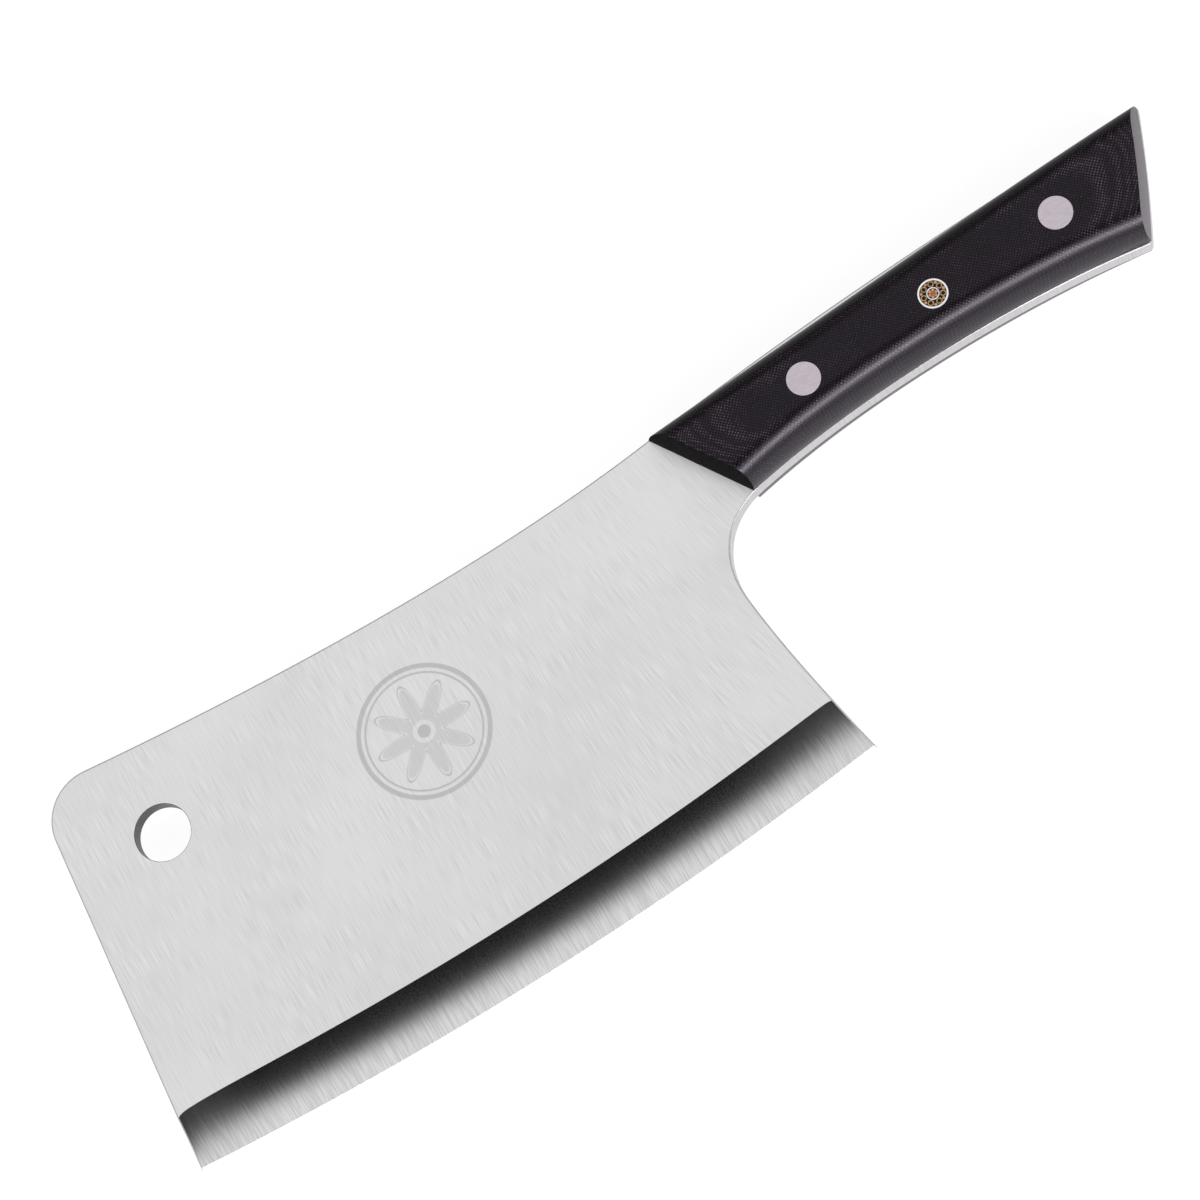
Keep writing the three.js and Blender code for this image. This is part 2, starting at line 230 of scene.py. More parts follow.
def walk(points, distances):
    """The points at the given distances along a polyline."""
    steps = [(b - a).length for a, b in zip(points, points[1:])]
    reach = np.concatenate([[0.0], np.cumsum(steps)])
    xs = np.interp(distances, reach, [p.x for p in points])
    ys = np.interp(distances, reach, [p.y for p in points])
    return [flat_point(float(x), float(y)) for x, y in zip(xs, ys)]


def length_of(points):
    return sum((b - a).length for a, b in zip(points, points[1:]))


# ---- meshes


class Skin:
    """Faces collected by the places of their corners, so that faces that meet share them."""

    def __init__(self):
        self.corners = {}
        self.faces = []
        self.kinds = []

    def corner(self, point):
        key = tuple(round(c, 5) for c in point)
        return self.corners.setdefault(key, len(self.corners))

    def face(self, points, kind=0):
        found = []
        for index in map(self.corner, points):
            if index not in found:
                found.append(index)
        if len(found) > 2:
            self.faces.append(found)
            self.kinds.append(kind)

    def sheet(self, rows, kind=0, closed=False):
        """Quads between matching rows of points."""
        for low, high in zip(rows, rows[1:]):
            ends = list(range(len(low) - 1)) + ([-1] if closed else [])
            for i in ends:
                self.face([low[i], low[i + 1], high[i + 1], high[i]], kind)

    def build(self, name, materials, smooth_angle=30):
        """The object, with its faces turned outward and its sharp edges marked."""
        mesh = bpy.data.meshes.new(name)
        mesh.from_pydata([place(*key) for key in self.corners], [], self.faces)
        for material in materials:
            mesh.materials.append(material)
        mesh.polygons.foreach_set("material_index", self.kinds)
        turned = bmesh.new()
        turned.from_mesh(mesh)
        bmesh.ops.recalc_face_normals(turned, faces=turned.faces)
        turned.to_mesh(mesh)
        turned.free()
        mesh.shade_smooth()
        mesh.set_sharp_from_angle(angle=math.radians(smooth_angle))
        piece = bpy.data.objects.new(name, mesh)
        bpy.context.scene.collection.objects.link(piece)
        return piece


def solid(point, z):
    """A flat point at a height."""
    return (point.x, point.y, z)


def apply_modifiers(piece):
    """Replaces the piece's mesh with what its modifiers make of it."""
    evaluated = piece.evaluated_get(bpy.context.evaluated_depsgraph_get())
    mesh = bpy.data.meshes.new_from_object(evaluated)
    piece.modifiers.clear()
    piece.data = mesh


def triangulate(outline, holes, lattice):
    """Even triangles inside an outline and outside its holes, as lists of three points."""
    loops = [outline] + holes
    points = [p for loop in loops for p in loop]
    edges = []
    start = 0
    for loop in loops:
        count = len(loop)
        edges += [(start + i, start + (i + 1) % count) for i in range(count)]
        start += count
    points += inner_points(outline, holes, lattice)
    made, _, triangles, originals, _, _ = delaunay_2d_cdt(points, edges, [], 1, 1e-7)
    kept = []
    for triangle in triangles:
        corners = [points[originals[i][0]] if originals[i] else made[i] for i in triangle]
        middle = (corners[0] + corners[1] + corners[2]) / 3
        if not any(inside(middle, hole) for hole in holes):
            kept.append(corners)
    return kept


def inside(point, loop):
    """Whether a point lies inside a closed loop."""
    crossings = 0
    for a, b in zip(loop, loop[1:] + loop[:1]):
        if (a.y > point.y) != (b.y > point.y):
            crossings += point.x < a.x + (point.y - a.y) * (b.x - a.x) / (b.y - a.y)
    return crossings % 2 == 1


def inner_points(outline, holes, spacing):
    """A triangular lattice of points inside an outline, clear of its border and its holes."""
    border = np.array([p[:] for loop in [outline] + holes for p in loop])
    low, high = border.min(axis=0), border.max(axis=0)
    row_gap = spacing * math.sqrt(3) / 2
    found = []
    for row in range(int((high[1] - low[1]) / row_gap) + 1):
        for column in range(int((high[0] - low[0]) / spacing) + 1):
            x = low[0] + spacing * (column + 0.5 * (row % 2))
            y = low[1] + row_gap * row
            clear = np.hypot(border[:, 0] - x, border[:, 1] - y).min() > 0.6 * spacing
            point = flat_point(float(x), float(y))
            if clear and inside(point, outline) and not any(inside(point, h) for h in holes):
                found.append(point)
    return found


# ---- material nodes


class Wire:
    """A value in a node tree. Arithmetic on it adds nodes to the tree."""

    def __init__(self, shades, socket):
        self.shades = shades
        self.socket = socket

    def __add__(self, other):
        return self.shades.math("ADD", self, other)

    def __sub__(self, other):
        return self.shades.math("SUBTRACT", self, other)

    def __rsub__(self, other):
        return self.shades.math("SUBTRACT", other, self)

    def __mul__(self, other):
        return self.shades.math("MULTIPLY", self, other)

    def __truediv__(self, other):
        return self.shades.math("DIVIDE", self, other)

    def __pow__(self, other):
        return self.shades.math("POWER", self, other)

    def __abs__(self):
        return self.shades.math("ABSOLUTE", self)

    __radd__ = __add__
    __rmul__ = __mul__


class Shades:
    """Short ways to add shader nodes to a tree."""

    def __init__(self, tree):
        self.tree = tree
        self.tree.nodes.clear()

    def node(self, kind, **settings):
        made = self.tree.nodes.new(kind)
        for key, value in settings.items():
            setattr(made, key, value)
        return made

    def feed(self, socket, value):
        """Links a socket to another, or sets its plain value."""
        value = value.socket if isinstance(value, Wire) else value
        if isinstance(value, bpy.types.NodeSocket):
            self.tree.links.new(value, socket)
        else:
            socket.default_value = value

    def end(self, kind, surface):
        """Adds the tree's output."""
        self.feed(self.node(kind).inputs["Surface"], surface)

    def math(self, operation, *values, clamp=False):
        made = self.node("ShaderNodeMath", operation=operation, use_clamp=clamp)
        for socket, value in zip(made.inputs, values):
            self.feed(socket, value)
        return Wire(self, made.outputs[0])

    def vector(self, operation, first, second=None, scale=None):
        made = self.node("ShaderNodeVectorMath", operation=operation)
        self.feed(made.inputs[0], first)
        if second is not None:
            self.feed(made.inputs[1], second)
        if scale is not None:
            self.feed(made.inputs["Scale"], scale)
        single = operation in ("LENGTH", "DOT_PRODUCT")
        return Wire(self, made.outputs["Value" if single else "Vector"])

    def split(self, vector):
        made = self.node("ShaderNodeSeparateXYZ")
        self.feed(made.inputs[0], vector)
        return [Wire(self, output) for output in made.outputs]

    def join(self, x, y, z):
        made = self.node("ShaderNodeCombineXYZ")
        for socket, value in zip(made.inputs, (x, y, z)):
            self.feed(socket, value)
        return Wire(self, made.outputs[0])

    def noise(self, point, scale, detail=2.0, roughness=0.5):
        made = self.node("ShaderNodeTexNoise")
        self.feed(made.inputs["Vector"], point)
        self.feed(made.inputs["Scale"], scale)
        self.feed(made.inputs["Detail"], detail)
        self.feed(made.inputs["Roughness"], roughness)
        return Wire(self, made.outputs["Fac"])

    def window(self, value, low, high, to_low=0.0, to_high=1.0):
        """A smooth step: to_low at low and below, to_high at high and above."""
        made = self.node("ShaderNodeMapRange", interpolation_type="SMOOTHSTEP")
        for key, part in (("Value", value), ("From Min", low), ("From Max", high),
                          ("To Min", to_low), ("To Max", to_high)):
            self.feed(made.inputs[key], part)
        return Wire(self, made.outputs["Result"])

    def mix(self, share, first, second):
        """Mixes two colours."""
        made = self.node("ShaderNodeMix", data_type="RGBA")
        self.feed(made.inputs["Factor"], share)
        self.feed(made.inputs["A"], first)
        self.feed(made.inputs["B"], second)
        return Wire(self, made.outputs["Result"])

    def relief(self, height, depth, below=None):
        """The normal of a surface raised by height times depth, in mm."""
        made = self.node("ShaderNodeBump")
        made.inputs["Distance"].default_value = depth * MM
        self.feed(made.inputs["Height"], height)
        if below is not None:
            self.feed(made.inputs["Normal"], below)
        return Wire(self, made.outputs["Normal"])


class Finish(Shades):
    """A material. Its mm is the place of a point of the surface in the row frame, in mm."""

    def __init__(self, name):
        self.material = bpy.data.materials.new(name)
        self.material.use_nodes = True
        super().__init__(self.material.node_tree)
        self.shader = self.node("ShaderNodeBsdfPrincipled")
        self.end("ShaderNodeOutputMaterial", self.shader.outputs["BSDF"])
        places = self.node("ShaderNodeTexCoord").outputs["Object"]
        self.mm = self.vector("SCALE", places, scale=1 / MM)

    def done(self, colour, roughness, normal=None, **inputs):
        """Feeds the shader, with its other inputs named with _ for each space."""
        inputs.update(Base_Color=colour, Roughness=roughness)
        if normal is not None:
            inputs["Normal"] = normal
        for key, value in inputs.items():
            self.feed(self.shader.inputs[key.replace("_", " ")], value)
        return self.material

    def metal(self, colour, roughness, normal, **inputs):
        return self.done(colour, roughness, normal, Metallic=1.0, **inputs)


def rgb(red, green, blue):
    return (red, green, blue, 1.0)


def grey(level):
    return rgb(level, level, level)


# ---- materials


def streaks(finish, stretch, scale, detail=3.0):
    """Noise drawn out along one axis, for the lines a grinding belt leaves."""
    return finish.noise(finish.vector("MULTIPLY", finish.mm, stretch), scale, detail, 0.6)


# How close noise is set along x, y and z, so that it draws out into lines
FLAT_LINES = (1.0, 0.035, 0.2)
BEVEL_LINES = (1.0, 0.04, 0.2)
BROAD_LINES = (1.0, 0.03, 0.2)
EDGE_LINES = (1.0, 0.025, 0.2)
WALL_LINES = (1.0, 1.0, 0.03)
BORE_LINES = (0.2, 0.2, 4.0)
SANDING_LINES = (0.12, 1.0, 0.3)
FINE = 4.2  # how close the finest lines of the blade are
LINE_SLANT = 0.22  # how far the flat's lines lean towards the handle beside it
ALONG_X = (1.0, 0.0, 0.0)


def blade_flat_finish(name, etched=False):
    """Belt-finished steel: fine lines square to the edge and a faint cloudiness."""
    finish = Finish(name)
    x, y, z = finish.split(finish.mm)
    slant = finish.window(x, at_x(110), at_x(190), 0.0, LINE_SLANT)
    bent = slant * (y - at_y(SPINE_JOINT.y)) + x
    fine = finish.noise(finish.vector("MULTIPLY", finish.join(bent, y, z), FLAT_LINES), FINE, 0.0)
    patch = finish.noise(finish.mm, 0.1, 1.0)
    lines = (fine - 0.5) * finish.window(patch, 0.3, 0.7, 0.3, 0.7) + 0.5
    cloud = finish.noise(finish.mm, 0.03, 1.5)
    tone = 0.55 * lines + 0.45 * cloud
    colour = finish.mix(finish.window(tone, 0.34, 0.66), grey(0.63), grey(0.77))
    roughness = finish.window(cloud, 0.3, 0.7, 0.33, 0.39)
    if etched:
        mark = etched_rosette(finish)
        colour = finish.mix(0.45 * mark, colour, grey(0.5))
        roughness += 0.12 * mark
    return finish.metal(colour, roughness, finish.relief(lines, 0.004), Anisotropic=0.5,
                        Tangent=finish.join(*ALONG_X))


ROSETTE_CENTRE = flat_point(93.5, 60.0)
ROSETTE_PETALS = 8
ROSETTE_REACH = 7.52  # middle of the petals' outline
ROSETTE_SWING = 3.68  # how far the outline swings out to the tips and in to the roots
ROSETTE_HEART = 1.58
ROSETTE_ROOTS = 2.7  # where the petals start
ROSETTE_RINGS = ((13.6, 14.08), (14.88, 16.0))
ROSETTE_BORDER = (-1.12, -0.62)  # the line drawn round the petals
MARK_BLUR = 0.08


def etched_rosette(finish):
    """A mask that is 1 on a plain rosette in two rings, etched on the blade's flat."""
    middle = place(ROSETTE_CENTRE.x, ROSETTE_CENTRE.y) / MM
    x, y, _ = finish.split(finish.vector("SUBTRACT", finish.mm, middle))
    radius = finish.vector("LENGTH", finish.join(x, y, 0.0))
    swing = finish.math("COSINE", ROSETTE_PETALS * finish.math("ARCTAN2", y, x))
    depth = ROSETTE_SWING * swing + ROSETTE_REACH - radius

    def over(value, bound):
        return finish.window(value, bound - MARK_BLUR, bound + MARK_BLUR)

    def band(value, low, high):
        return over(value, low) * (1 - over(value, high))

    petals = over(depth, 0.0) * over(radius, ROSETTE_ROOTS)
    heart = 1 - over(radius, ROSETTE_HEART)
    marks = 0.5 * petals + band(depth, *ROSETTE_BORDER) + heart
    for inner, outer in ROSETTE_RINGS:
        marks += band(radius, inner, outer)
    return finish.math("MINIMUM", marks, 1.0)


def blade_bevel_finish():
    """Hollow-ground steel: strong wheel lines square to the edge, rougher at its two ends."""
    finish = Finish("steel_hollow_ground")
    fine = streaks(finish, BEVEL_LINES, FINE, 0.0)
    lines = 0.85 * fine + 0.15 * streaks(finish, BROAD_LINES, 0.9, 2.0)
    colour = finish.mix(finish.window(lines, 0.34, 0.66), grey(0.53), grey(0.64))
    x, _, _ = finish.split(finish.mm)
    front = finish.window(x, at_x(4), at_x(24), 1.0, 0.0)
    heel = finish.window(x, at_x(140), at_x(EDGE_LENGTH))
    roughness = 0.06 * finish.math("MAXIMUM", front, heel) + 0.195
    return finish.metal(colour, roughness, finish.relief(lines, 0.006), Anisotropic=0.65,
                        Tangent=finish.join(*ALONG_X))


def blade_edge_finish():
    """The sharpened strip: brighter than the grind above it."""
    finish = Finish("steel_sharpened")
    lines = streaks(finish, EDGE_LINES, 5.0)
    return finish.metal(finish.mix(lines, grey(0.62), grey(0.7)), 0.22, finish.relief(lines, 0.006))


def blade_wall_finish():
    """The narrow faces of the blank: ground across the thickness."""
    finish = Finish("steel_cross_ground")
    lines = streaks(finish, WALL_LINES, 2.4, 2.0)
    tone = finish.window(lines, 0.3, 0.7)
    colour = finish.mix(tone, rgb(0.53, 0.515, 0.53), rgb(0.6, 0.585, 0.6))
    return finish.metal(colour, 0.06 * tone + 0.42, finish.relief(lines, 0.001))


def blade_bore_painted_shade_finish():
    """The walls of the hanging hole and the pin holes: drilled and left dull, and coloured far
    darker than steel is, which is painted shade for the inside of the holes.
    """
    finish = Finish("steel_bored_painted_shade")
    lines = finish.noise(finish.vector("MULTIPLY", finish.mm, BORE_LINES), 2.0, 3.0)
    # A steel colour near black: painted shade.
    colour = finish.mix(finish.window(lines, 0.35, 0.65), grey(0.06), grey(0.11))
    return finish.metal(colour, 0.45, finish.relief(lines, 0.006))


def rivet_finish():
    """Stainless rivet heads sanded flush with the handle."""
    finish = Finish("steel_sanded")
    lines = 0.6 * streaks(finish, SANDING_LINES, 4.0) + 0.4 * finish.noise(finish.mm, 9.0, 3.0)
    tone = finish.window(lines, 0.36, 0.64)
    colour = finish.mix(tone, rgb(0.52, 0.465, 0.51), rgb(0.62, 0.56, 0.605))
    return finish.metal(colour, 0.36, finish.relief(lines, 0.004))


def tube_steel_finish():
    """The two bright tubes of the mosaic pin."""
    finish = Finish("steel_tube")
    grain = finish.noise(finish.mm, 8.0, 3.0)
    return finish.metal(finish.mix(grain, grey(0.78), grey(0.9)), 0.3, finish.relief(grain, 0.006))


def pin_metal_finish(name, dark, light):
    """Sanded brass or copper with a little tarnish."""
    finish = Finish(name)
    grain = finish.noise(finish.mm, 6.0, 4.0)
    tone = 0.5 * grain + 0.5 * finish.noise(finish.mm, 1.3)
    colour = finish.mix(finish.window(tone, 0.35, 0.65), dark, light)
    return finish.metal(colour, 0.34, finish.relief(grain, 0.008))


def resin_finish():
    """Black casting resin between the mosaic pin's tubes and rods."""
    finish = Finish("casting_resin")
    grain = finish.noise(finish.mm, 5.0, 3.0)
    colour = finish.mix(grain, rgb(0.004, 0.004, 0.006), rgb(0.016, 0.014, 0.018))
    roughness = finish.window(grain, 0.3, 0.7, 0.28, 0.42)
    return finish.done(colour, roughness, finish.relief(grain, 0.01), Specular_IOR_Level=0.15)


LAYER = 0.42  # thickness of one layer of cloth in the laminate
YARN = 0.9  # repeat of the weave along and across the handle
SWAY = 1.6  # how far the yarns stray from straight
BOW_LENGTH = 24.0  # how far from each end of the handle the layers turn down
BOW_LAYERS = 6.0  # how many layers they drop from the handle's middle to its border
BOW_POWER = 4.0  # how closely the drop keeps to the border
BOW_ROUNDNESS = 3.0  # how square the layers' contours are at the handle's corners
YARN_COLOUR = rgb(0.1, 0.074, 0.098)
LAMINATE_TINT = rgb(0.95, 0.86, 1.0)  # of what it reflects
EDGE_SIDE_PAINTED_SHINE = 3.0  # painted highlight: how much more the handle reflects where it faces the edge's side than elsewhere
SPINE_SIDE_PAINTED_SHADE = 0.25  # painted shade: how much of that reflection is left where it faces the spine's side


def border_height(finish, x, controls):
    """The y of a scale's border at x, both in the row frame and in mm."""
    run = [place(p.x, p.y) / MM for p in bezier_run(controls, 20)]
    square, slope, start = np.polyfit([p.x for p in run], [p.y for p in run], 2)
    return (x * float(square) + float(slope)) * x + float(start)


def laminate_layers(finish):
    """How far up the pile of cloth layers a point of the surface lies, in layers.

    The layers bow across the handle and turn down towards its ends.
    """
    x, y, z = finish.split(finish.mm)
    warp = finish.noise(finish.vector("MULTIPLY", finish.mm, (0.06, 0.12, 0.0)), 1.0)
    level = 0.9 * warp + abs(z - MIDDLE_Z / MM) / LAYER
    lower, upper = (border_height(finish, x, border) for border in (SCALE_LOWER, SCALE_UPPER))
    share = (y - lower) / (upper - lower)
    total = abs(2 * share - 1) ** BOW_ROUNDNESS
    for end, inwards in ((0, 1), (-1, -1)):
        foot, top = SCALE_LOWER[end], SCALE_UPPER[end]
        line = (top - foot).normalized() * inwards
        offset = finish.vector("SUBTRACT", finish.mm, place(foot.x, foot.y) / MM)
        reach = finish.vector("DOT_PRODUCT", offset, (line.y, -line.x, 0.0))
        total += finish.math("SUBTRACT", 1.0, reach / BOW_LENGTH, clamp=True) ** BOW_ROUNDNESS
    return level + BOW_LAYERS * total ** (BOW_POWER / BOW_ROUNDNESS)


def weave_dots(finish):
    """A mask of the yarns' crests, in rows that shift from each cloth layer to the next.

    The crests show where the surface cuts the middle of a layer, so that they crowd along
    contour lines near the handle's border and spread into patches on the top face.
    """
    level = laminate_layers(finish)
    shift = finish.node("ShaderNodeTexWhiteNoise", noise_dimensions="1D")
    finish.feed(shift.inputs["W"], finish.math("FLOOR", level))
    shift_x, shift_y, _ = finish.split(shift.outputs["Color"])

    def wave(turns):
        return finish.math("COSINE", 2 * math.pi * turns)

    x, y, _ = finish.split(finish.mm)
    sway = SWAY * finish.noise(finish.mm, 0.12)
    crest = wave((x + sway) / YARN + shift_x) * wave((y - sway) / YARN + shift_y)
    cut = 0.5 - 0.5 * wave(finish.math("FRACT", level))
    patch = finish.window(finish.noise(finish.mm, 0.14, 3.0), 0.3, 0.7, -0.25, 0.25)
    return finish.window(crest, 0.1, 0.8) * finish.window(cut + patch, 0.0, 1.1, 0.25, 1.0)


def laminate_finish(name, dark, shine, roughness):
    """Woven cloth in black resin: pale dots on the top face, which catch light on the sides. It
    reflects more where it faces the edge's side and less where it faces the spine's side: painted
    highlight and painted shade.
    """
    finish = Finish(name)
    dots = weave_dots(finish)
    facing = finish.node("ShaderNodeNewGeometry").outputs["Normal"]
    _, sideways, upward = finish.split(facing)
    on_top = finish.window(abs(upward), 0.7, 1.0, 0.1, 1.0)
    sparkle = finish.window(finish.noise(finish.mm, 1.7), 0.3, 0.7, 0.25, 1.3)
    pale = finish.math("MULTIPLY", dots * on_top, sparkle, clamp=True)
    grain = finish.noise(finish.mm, 3.0, 4.0, 0.6)
    base = finish.mix(grain, rgb(*dark), rgb(*(2.6 * part for part in dark)))
    # Reflection strength set by which way the surface faces: painted highlight towards the edge's
    # side, painted shade towards the spine's side.
    shine_with_painted_sides = finish.window(sideways, -0.6, -0.25, EDGE_SIDE_PAINTED_SHINE * shine, shine)
    shine_with_painted_sides *= finish.window(sideways, 0.25, 0.7, 1.0, SPINE_SIDE_PAINTED_SHADE) * (0.5 * dots + 0.85)
    normal = finish.relief(dots, -0.008, finish.relief(grain, 0.008))
    return finish.done(finish.mix(pale, base, YARN_COLOUR), 0.1 * grain + roughness, normal,
                       Specular_IOR_Level=shine_with_painted_sides, Specular_Tint=LAMINATE_TINT)


FLAT_STEEL = blade_flat_finish("steel_belt_finished")
ETCHED_STEEL = blade_flat_finish("steel_etched_face", etched=True)
BEVEL_STEEL = blade_bevel_finish()
EDGE_STEEL = blade_edge_finish()
WALL_STEEL = blade_wall_finish()
BORE_STEEL_PAINTED_SHADE = blade_bore_painted_shade_finish()
RIVET_STEEL = rivet_finish()
TUBE_STEEL = tube_steel_finish()
BRASS = pin_metal_finish("pin_brass", rgb(0.34, 0.22, 0.09), rgb(0.6, 0.42, 0.2))
COPPER = pin_metal_finish("pin_copper", rgb(0.42, 0.17, 0.09), rgb(0.82, 0.42, 0.28))
RESIN = resin_finish()
LAMINATE = laminate_finish("woven_laminate", (0.002, 0.0014, 0.0022), 0.21, 0.27)
# A darker copy of the laminate that hardly reflects, for the front end faces: painted shade.
LAMINATE_FRONT_SHADED = laminate_finish("woven_laminate_front_end_painted_shade", (0.0016, 0.0013, 0.0016), 0.015, 0.4)
# A much lighter copy of the laminate for the butt end faces: painted light.
LAMINATE_BUTT_LIT = laminate_finish("woven_laminate_butt_end_painted_light", (0.03, 0.024, 0.03), 0.3, 0.3)

# ---- blade

EDGE_RADIUS = ((EDGE_LENGTH / 2) ** 2 + EDGE_BELLY**2) / (2 * EDGE_BELLY)
EDGE_CENTRE = flat_point(EDGE_LENGTH / 2, EDGE_RADIUS - EDGE_BELLY)
EDGE_HALF_ANGLE = math.asin(EDGE_LENGTH / 2 / EDGE_RADIUS)
BEVEL_POINTS = MICRO_ROWS + HOLLOW_ROWS + 1  # across the bevel
# Face kinds; BORE faces get the painted shade of the holes' walls.
ETCHED, FLAT, BEVEL, SHARPENED, WALL, BORE = range(6)
BLADE_MATERIALS = [ETCHED_STEEL, FLAT_STEEL, BEVEL_STEEL, EDGE_STEEL, WALL_STEEL, BORE_STEEL_PAINTED_SHADE]


def shoulder_width(x):
    """Distance from the edge to the shoulder of the grind, less towards the blade's ends."""
    front = 1.15 * math.exp(-x / 8) + 0.6 * math.exp(-x / 0.9)
    heel = 0.35 * math.exp(-(EDGE_LENGTH - x) / 1.2)
    return BEVEL_WIDTH - front - heel


def half_thickness(width, shoulder):
    """Half the blade's thickness at a distance in from the edge."""
    edge = EDGE_LAND / 2
    if width <= MICRO_WIDTH:
        return edge + width * math.tan(MICRO_ANGLE)
    micro_top = edge + MICRO_WIDTH * math.tan(MICRO_ANGLE)
    span = shoulder - MICRO_WIDTH
    share = (width - MICRO_WIDTH) / span
    hollow = span**2 * share * (1 - share) / (2 * WHEEL_RADIUS)
    return micro_top + (HALF_STOCK - micro_top) * share - hollow


def row_widths(shoulder):
    """Distances in from the edge at which the bevel's rows lie."""
    micro = [MICRO_WIDTH * i / MICRO_ROWS for i in range(MICRO_ROWS)]
    span = shoulder - MICRO_WIDTH
    return micro + [MICRO_WIDTH + span * i / HOLLOW_ROWS for i in range(HOLLOW_ROWS + 1)]


def outline_run():
    """The blank's outline from the heel round the tang and the spine to the front of the edge."""
    heel = bezier_run(HEEL, 200)
    heel_rows = row_widths(shoulder_width(EDGE_LENGTH))
    heel_length = length_of(heel)
    spans = int(heel_length - heel_rows[-1])
    run = walk(heel, heel_rows)
    run += walk(heel, np.linspace(heel_rows[-1], heel_length, spans + 1)[1:])
    run += bezier_run(CHOIL, 36)[1:]
    run += bezier_run(TANG_LOWER, 90)[1:]
    run += fillet(run[-1], BUTT_BOTTOM, BUTT_TOP, BUTT_BOTTOM_RADIUS, 8)
    along = (BUTT_TOP - BUTT_BOTTOM).normalized()
    bulge = BUTT_BOTTOM.lerp(BUTT_TOP, 0.5) + flat_point(along.y, -along.x) * 2 * BUTT_BULGE
    run += bezier_run([run[-1], bulge, BUTT_TOP - along * 2 * BUTT_TOP_RADIUS], 28)[1:]
    run += fillet(run[-1], BUTT_TOP, flat_point(262, 95), BUTT_TOP_RADIUS, 8)
    run += bezier_run([run[-1]] + TANG_UPPER, 110)[1:]
    run += bezier_run(SPINE, 120)[1:]
    run += fillet(run[-1], FRONT_CORNER, FRONT_END, FRONT_CORNER_RADIUS, 24)
    front_rows = row_widths(shoulder_width(0))
    top = run[-1]
    ahead = top.normalized()
    spans = int(top.length - front_rows[-1])
    run += [top.lerp(ahead * front_rows[-1], i / spans) for i in range(1, spans)]
    run += [ahead * width for width in reversed(front_rows)]
    return run


def outline_heights(run):
    """Half the thickness at each point of the outline, and how much its edge is rounded."""
    heights = [HALF_STOCK] * len(run)
    for end, shoulder in ((1, shoulder_width(EDGE_LENGTH)), (-1, shoulder_width(0))):
        for row, width in enumerate(row_widths(shoulder)):
            heights[row if end > 0 else -1 - row] = half_thickness(width, shoulder)
    return heights, [min(EASE, 0.4 * height) for height in heights]


def inward(points, closed):
    """Unit normals that point to the left of a run of points."""
    count = len(points)
    normals = []
    for i in range(count):
        before = points[i - 1] if closed or i > 0 else points[0]
        after = points[(i + 1) % count] if closed or i + 1 < count else points[-1]
        step = (after - before).normalized()
        normals.append(flat_point(-step.y, step.x))
    return normals


def eased_wall(points, normals, heights, eases):
    """Rows of points down a wall, rounded where it meets the front and the back face."""
    rows = []
    for side in (1, -1):
        for i in range(EASE_STEPS + 1):
            step = EASE_STEPS - i if side > 0 else i
            turn = math.pi / 2 * step / EASE_STEPS
            row = []
            for p, n, height, ease in zip(points, normals, heights, eases):
                inset = p + n * (ease * (1 - math.cos(turn)))
                row.append(solid(inset, side * (height - ease * (1 - math.sin(turn)))))
            rows.append(row)
    return rows


def bevel_points(inset):
    """The bevel's points and their heights, column by column along the edge.

    Each column runs from the edge to the shoulder. Near the ends the columns are pulled to meet
    the rounded walls.
    """
    heel = inset[:BEVEL_POINTS]
    front = inset[: -BEVEL_POINTS - 1 : -1]
    columns, heights = [], []
    for i in range(EDGE_COLUMNS + 1):
        even = i / EDGE_COLUMNS
        share = 0.4 * even + 0.3 * (1 - math.cos(math.pi * even))  # closer near both ends
        angle = (2 * share - 1) * EDGE_HALF_ANGLE
        outward = flat_point(math.sin(angle), -math.cos(angle))
        edge = EDGE_CENTRE + outward * EDGE_RADIUS
        shoulder = shoulder_width(edge.x)
        widths = row_widths(shoulder)
        columns.append([edge - outward * width for width in widths])
        heights.append([half_thickness(width, shoulder) for width in widths])
    front_pull = [a - b for a, b in zip(front, columns[0])]
    heel_pull = [a - b for a, b in zip(heel, columns[-1])]
    for i, column in enumerate(columns):
        share = i / EDGE_COLUMNS
        for j in range(BEVEL_POINTS):
            pull = front_pull[j] * (1 - share) ** 6 + heel_pull[j] * share**6
            column[j] = column[j] + pull
    return columns, heights


def add_bevels(skin, columns, heights):
    """The hollow grind and the sharpened strip on both sides, and the land along the edge."""
    for side in (1, -1):
        rows = [[solid(column[j], side * height[j]) for column, height in zip(columns, heights)]
                for j in range(BEVEL_POINTS)]
        skin.sheet(rows[: MICRO_ROWS + 1], SHARPENED)
        skin.sheet(rows[MICRO_ROWS:], BEVEL)
    land = [[solid(column[0], side * EDGE_LAND / 2) for column in columns] for side in (1, -1)]
    skin.sheet(land, SHARPENED)


def add_openings(skin):
    """The hanging hole and the pin holes, and their loops in the blade's flats."""
    hole = ring(HANGING_HOLE, HANGING_HOLE_RADIUS, LARGE_SIDES)
    outward = [-n for n in inward(hole, closed=True)]
    rim = eased_wall(hole, outward, [HALF_STOCK] * len(hole), [HOLE_EASE] * len(hole))
    # The hole's rounded rims get the bore's painted shade too.
    skin.sheet(rim, BORE, closed=True)
    openings = [flat_row(rim[0])]
    for node, radius in (("mosaic_outer_tube", MOSAIC_RADIUS),
                         ("front_rivet_sleeve", SLEEVE_RADIUS),
                         ("rear_rivet_sleeve", SLEEVE_RADIUS)):
        bore = ring(centre_of(node), radius + FIT_GAP, MIDDLE_SIDES)
        rows = [[solid(p, side * HALF_STOCK) for p in bore] for side in (1, -1)]
        skin.sheet(rows, BORE, closed=True)
        openings.append(bore)
    return openings


def flat_row(row):
    return [flat_point(x, y) for x, y, _ in row]


